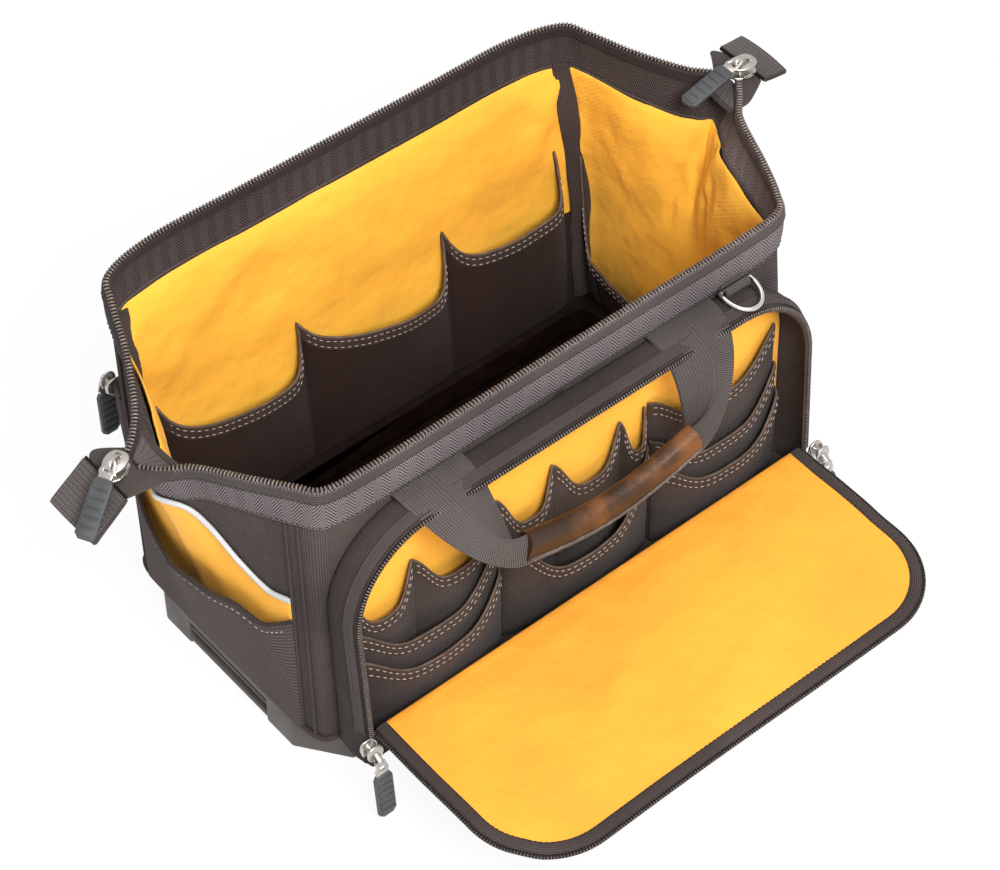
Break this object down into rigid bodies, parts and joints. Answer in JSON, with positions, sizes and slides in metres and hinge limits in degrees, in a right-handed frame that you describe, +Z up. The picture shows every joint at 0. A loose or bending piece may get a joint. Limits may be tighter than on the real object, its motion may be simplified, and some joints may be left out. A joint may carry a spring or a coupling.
{
  "type": "tool bag",
  "caption": "Open-mouth tool bag on a moulded base, with a fold-down front flap over pouches, inner pockets, zips, carrying handles and rings.",
  "frame": {"origin": "centre of the moulded base's underside, on the floor", "axes": "+X along the bag, to the right seen from the front; +Z up; the front compartment and its flap face -Y"},
  "size_m": [0.6327, 0.5091, 0.2992],
  "materials": {
    "moulded_base": "moulded black plastic, softly textured",
    "floor_board": "ribbed black board",
    "wall_cloth": "black heavy woven polyester",
    "lining": "orange-yellow coated lining cloth",
    "mouth_band": "black herringbone zip band",
    "zip_chain": "black coil zip with a slight shine",
    "hood_cloth": "smooth black cloth",
    "webbing": "black ribbed webbing",
    "zip_metal": "cast metal, satin",
    "pull_rubber": "dark grey moulded rubber",
    "gusset_cloth": "black heavy woven polyester",
    "pocket_back": "orange-yellow coated cloth",
    "pouch_cloth": "black woven cloth with light double stitching",
    "flap_cloth": "black heavy woven polyester with bound edge",
    "flap_lining": "orange-yellow coated lining cloth",
    "side_backing": "orange-yellow coated cloth",
    "side_pocket_cloth": "black ribbed cloth",
    "grip_leather": "dark brown leather-look wrap",
    "ring_metal": "bright plated wire",
    "rear_cloth": "black heavy woven polyester"
  },
  "bodies": {
    "bag": {"base_tray": "moulded_base", "floor_board": "floor_board", "front_wall": "wall_cloth", "right_wall": "wall_cloth", "rear_wall": "wall_cloth", "left_wall": "wall_cloth", "front_lining": "lining", "right_lining": "lining", "rear_lining": "lining", "left_lining": "lining", "front_mouth_band": "mouth_band", "rear_mouth_band": "mouth_band", "front_mouth_chain": "zip_chain", "rear_mouth_chain": "zip_chain", "left_tail_hood": "hood_cloth", "right_tail_hood": "hood_cloth", "left_tail_tab": "webbing", "right_tail_tab": "webbing", "left_mouth_slider": "zip_metal", "right_mouth_slider": "zip_metal", "front_gusset": "gusset_cloth", "front_sill": "gusset_cloth", "front_pocket_back": "pocket_back", "arch_chain": "zip_chain", "left_rear_pouch": "pouch_cloth", "left_middle_pouch": "pouch_cloth", "left_front_pouch": "pouch_cloth", "centre_rear_pouch": "pouch_cloth", "centre_front_pouch": "pouch_cloth", "right_rear_pouch": "pouch_cloth", "right_middle_pouch": "pouch_cloth", "right_front_pouch": "pouch_cloth", "left_side_backing": "side_backing", "right_side_backing": "side_backing", "left_side_pocket": "side_pocket_cloth", "right_side_pocket": "side_pocket_cloth", "rear_inner_pocket": "pouch_cloth", "end_inner_pocket": "pouch_cloth", "front_ring_loop": "webbing", "rear_ring_loop": "webbing", "rear_pocket_panel": "rear_cloth"},
    "front_flap": {"flap_shell": "flap_cloth", "flap_lining": "flap_lining", "flap_chain": "zip_chain"},
    "front_handle": {"front_handle_left_strap": "webbing", "front_handle_right_strap": "webbing", "front_handle_grip": "grip_leather"},
    "rear_handle": {"rear_handle_left_strap": "webbing", "rear_handle_right_strap": "webbing", "rear_handle_grip": "grip_leather"},
    "front_ring": {"front_ring": "ring_metal"},
    "rear_ring": {"rear_ring": "ring_metal"},
    "left_mouth_pull": {"left_mouth_pull": "pull_rubber"},
    "right_mouth_pull": {"right_mouth_pull": "pull_rubber"},
    "left_flap_slider": {"left_flap_slider": "zip_metal"},
    "right_flap_slider": {"right_flap_slider": "zip_metal"},
    "left_flap_pull": {"left_flap_pull": "pull_rubber"},
    "right_flap_pull": {"right_flap_pull": "pull_rubber"},
    "rear_pocket_slider": {"rear_pocket_slider": "zip_metal"},
    "rear_pocket_pull": {"rear_pocket_pull": "pull_rubber"}
  },
  "joints": [
    {"name": "front_flap_fold", "type": "hinge", "parent": "bag", "child": "front_flap", "pos_m": [0, -0.1425, 0.0695], "axis": [-1, 0, 0], "range_deg": [0, 97.5]},
    {"name": "front_handle_swing", "type": "hinge", "parent": "bag", "child": "front_handle", "pos_m": [-0.009, -0.10762, 0.2392], "axis": [-1, 0, 0], "range_deg": [0, 85]},
    {"name": "rear_handle_swing", "type": "hinge", "parent": "bag", "child": "rear_handle", "pos_m": [0, 0.14208, 0.2592], "axis": [1, 0, 0], "range_deg": [0, 85]},
    {"name": "front_ring_swing", "type": "hinge", "parent": "bag", "child": "front_ring", "pos_m": [0.15, -0.1107, 0.243], "axis": [-1, 0, 0], "range_deg": [0, 100]},
    {"name": "rear_ring_swing", "type": "hinge", "parent": "bag", "child": "rear_ring", "pos_m": [-0.16, 0.1447, 0.263], "axis": [1, 0, 0], "range_deg": [0, 160]},
    {"name": "left_mouth_pull_swing", "type": "hinge", "parent": "bag", "child": "left_mouth_pull", "pos_m": [-0.28352, 0.00809, 0.27241], "axis": [-0.454, 0.891, 0], "range_deg": [0, 190]},
    {"name": "right_mouth_pull_swing", "type": "hinge", "parent": "bag", "child": "right_mouth_pull", "pos_m": [0.27325, 0.02004, 0.29233], "axis": [0, 1, 0], "range_deg": [0, 185]},
    {"name": "left_flap_zip_slide", "type": "slide", "parent": "bag", "child": "left_flap_slider", "axis": [0, 0.0725, 0.9974], "range_m": [0, 0.094]},
    {"name": "right_flap_zip_slide", "type": "slide", "parent": "bag", "child": "right_flap_slider", "axis": [0, 0.0725, 0.9974], "range_m": [0, 0.094]},
    {"name": "left_flap_pull_swing", "type": "hinge", "parent": "left_flap_slider", "child": "left_flap_pull", "pos_m": [-0.209, -0.16273, 0.0629], "axis": [-1, 0, 0], "range_deg": [0, 120]},
    {"name": "right_flap_pull_swing", "type": "hinge", "parent": "right_flap_slider", "child": "right_flap_pull", "pos_m": [0.209, -0.16273, 0.0629], "axis": [-1, 0, 0], "range_deg": [0, 120]},
    {"name": "rear_pocket_zip_slide", "type": "slide", "parent": "bag", "child": "rear_pocket_slider", "axis": [1, 0, 0], "range_m": [0, 0.4]},
    {"name": "rear_pocket_pull_swing", "type": "hinge", "parent": "rear_pocket_slider", "child": "rear_pocket_pull", "pos_m": [-0.201, 0.15104, 0.1767], "axis": [1, 0, 0], "range_deg": [0, 120]}
  ],
  "couplings": [
    {"joint": "front_handle_swing", "follows": "front_flap_fold", "ratio": 0.87}
  ]
}
